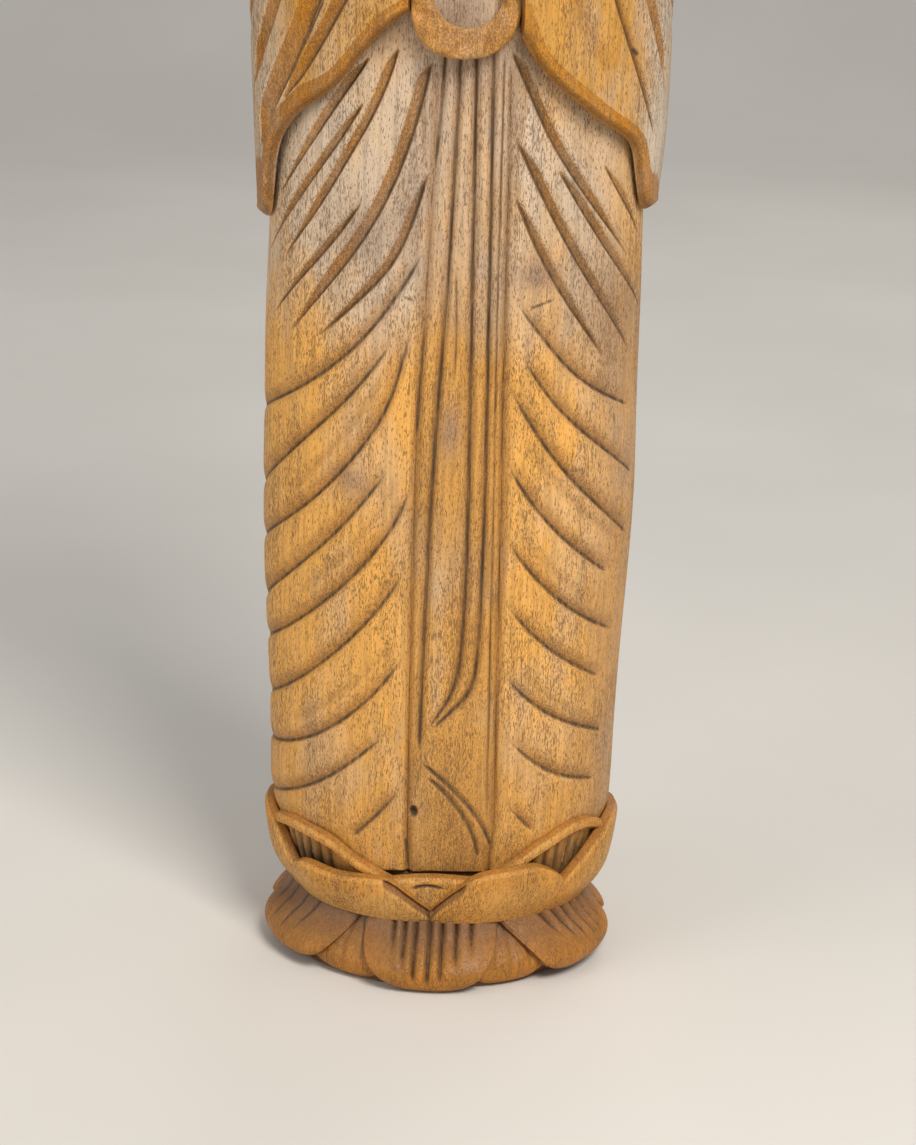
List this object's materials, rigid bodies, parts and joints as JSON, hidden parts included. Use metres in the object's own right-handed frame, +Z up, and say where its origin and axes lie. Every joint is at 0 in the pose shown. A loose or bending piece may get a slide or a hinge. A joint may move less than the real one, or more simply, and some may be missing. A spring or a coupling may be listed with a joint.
{
  "type": "prayer figure statue",
  "caption": "Carved wooden devotional figure in a veiled, long-sleeved robe, hands in prayer, standing on a double lotus pedestal.",
  "frame": {"origin": "centre of the pedestal's flat underside", "axes": "+Z up through the figure, the figure faces -Y, +X is the figure's own left"},
  "size_m": [0.1796, 0.14, 0.75],
  "materials": {
    "robe_wood": "bare carved hardwood, waxed thin, worn and dusty",
    "sleeve_wood": "bare carved hardwood, waxed thin, polished on the ridges",
    "lotus_wood": "bare carved hardwood, warmer and rougher",
    "face_wood": "bare carved hardwood, rubbed smooth",
    "dowel_wood": "plain turned beech"
  },
  "bodies": {
    "root": {"lotus_lower_tier": "lotus_wood", "lotus_upper_tier": "lotus_wood", "robe_body": "robe_wood", "sleeve_left": "sleeve_wood", "sleeve_right": "sleeve_wood", "front_sash": "robe_wood", "hand_left": "face_wood", "hand_right": "face_wood", "head": "face_wood", "veil": "sleeve_wood", "base_dowel_front": "dowel_wood", "base_dowel_back": "dowel_wood", "sleeve_dowel_left_lower": "dowel_wood", "sleeve_dowel_left_upper": "dowel_wood", "sleeve_dowel_right_lower": "dowel_wood", "sleeve_dowel_right_upper": "dowel_wood", "sash_peg": "dowel_wood", "neck_dowel": "dowel_wood", "crown_dowel": "dowel_wood"}
  },
  "joints": []
}
